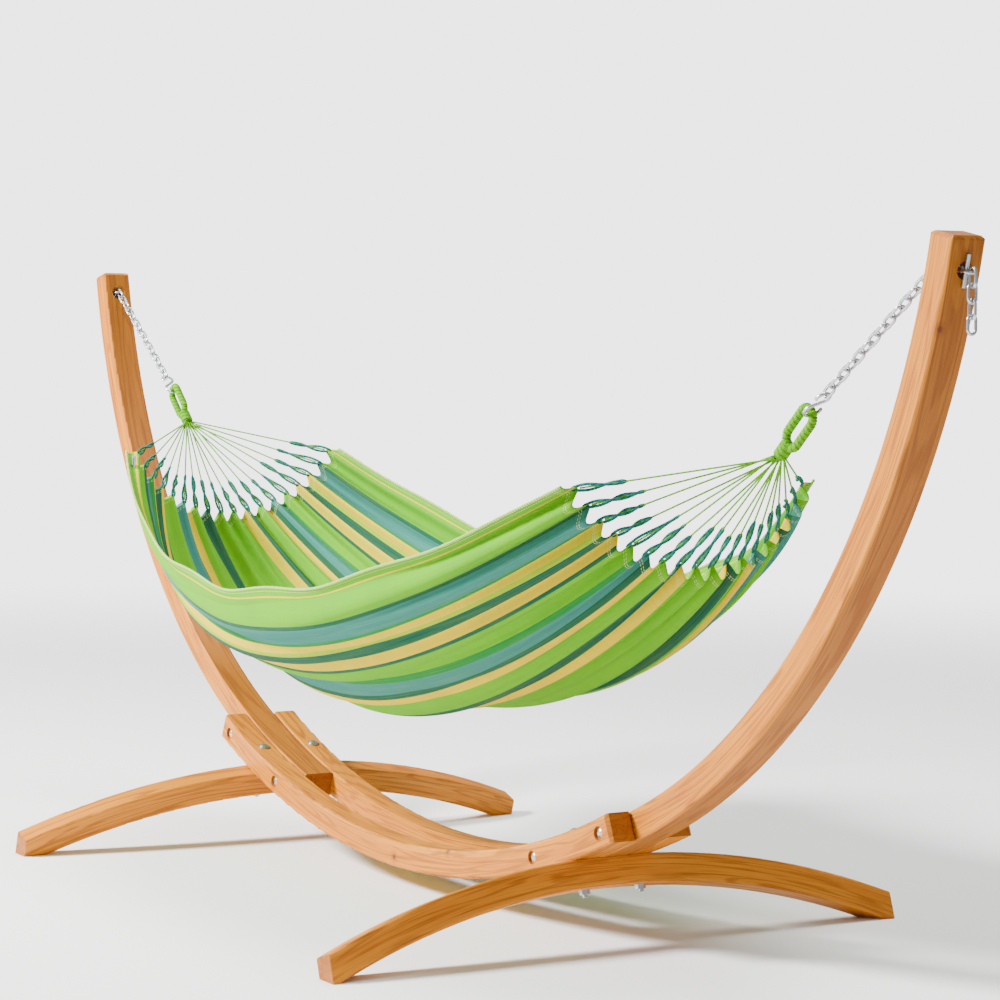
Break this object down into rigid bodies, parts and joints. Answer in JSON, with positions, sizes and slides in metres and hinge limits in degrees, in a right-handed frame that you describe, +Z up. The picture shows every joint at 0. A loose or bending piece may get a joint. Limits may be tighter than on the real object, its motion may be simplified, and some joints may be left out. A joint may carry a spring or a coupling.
{
  "type": "hammock on stand",
  "caption": "Freestanding hammock stand of curved laminated timber beams on arched feet, with a striped cloth hammock hung from it by chains and open hooks.",
  "frame": {"origin": "on the floor, midway between the two arms and midway between the cheeks", "axes": "+X along the stand towards the right arm, +Y from the front to the rear, +Z up"},
  "size_m": [3.3438, 1.2, 1.2613],
  "materials": {
    "wood": "satin oiled laminated larch",
    "bolt_steel": "zinc plated",
    "chain_steel": "zinc plated",
    "lime_cord": "twisted and whipped cord",
    "striped_cloth": "woven stripes of lime, yellow, green and teal",
    "teal_cord": "braided heading loops",
    "label": "folded woven label, plain"
  },
  "bodies": {
    "stand": {"arm_left": "wood", "arm_right": "wood", "cheek_front": "wood", "cheek_rear": "wood", "foot_left": "wood", "foot_right": "wood", "cross_bolts": "bolt_steel", "cross_nuts": "bolt_steel", "foot_bolts": "bolt_steel", "foot_washers": "bolt_steel", "foot_nuts": "bolt_steel", "chain_pin_left": "bolt_steel", "chain_pin_right": "bolt_steel", "chain_anchor_left": "chain_steel", "chain_anchor_right": "chain_steel"},
    "tail_left": {"chain_tail_left": "chain_steel"},
    "tail_right": {"chain_tail_right": "chain_steel"},
    "chain_left": {"chain_run_left": "chain_steel", "hook_left": "chain_steel"},
    "chain_right": {"chain_run_right": "chain_steel", "hook_right": "chain_steel"},
    "hammock": {"end_loop_left": "lime_cord", "end_loop_right": "lime_cord", "clew_cords_left": "lime_cord", "clew_cords_right": "lime_cord", "hammock_cloth": "striped_cloth", "label_tag": "label"}
  },
  "joints": [
    {"name": "chain_swing_left", "type": "hinge", "parent": "stand", "child": "chain_left", "pos_m": [-1.58549, 0, 1.21369], "axis": [1, 0, 0], "range_deg": [-25, 25]},
    {"name": "chain_swing_right", "type": "hinge", "parent": "stand", "child": "chain_right", "pos_m": [1.58549, 0, 1.21369], "axis": [1, 0, 0], "range_deg": [-25, 25]},
    {"name": "hammock_swing", "type": "hinge", "parent": "chain_left", "child": "hammock", "pos_m": [-1.2528, 0, 0.97198], "axis": [1, 0, 0], "range_deg": [-10, 10]},
    {"name": "tail_swing_left", "type": "hinge", "parent": "stand", "child": "tail_left", "pos_m": [-1.65974, 0, 1.19573], "axis": [0, 1, 0], "range_deg": [0, 40]},
    {"name": "tail_swing_right", "type": "hinge", "parent": "stand", "child": "tail_right", "pos_m": [1.65974, 0, 1.19573], "axis": [0, -1, 0], "range_deg": [0, 40]}
  ],
  "couplings": [
    {"joint": "chain_swing_right", "follows": "chain_swing_left", "ratio": 1}
  ]
}
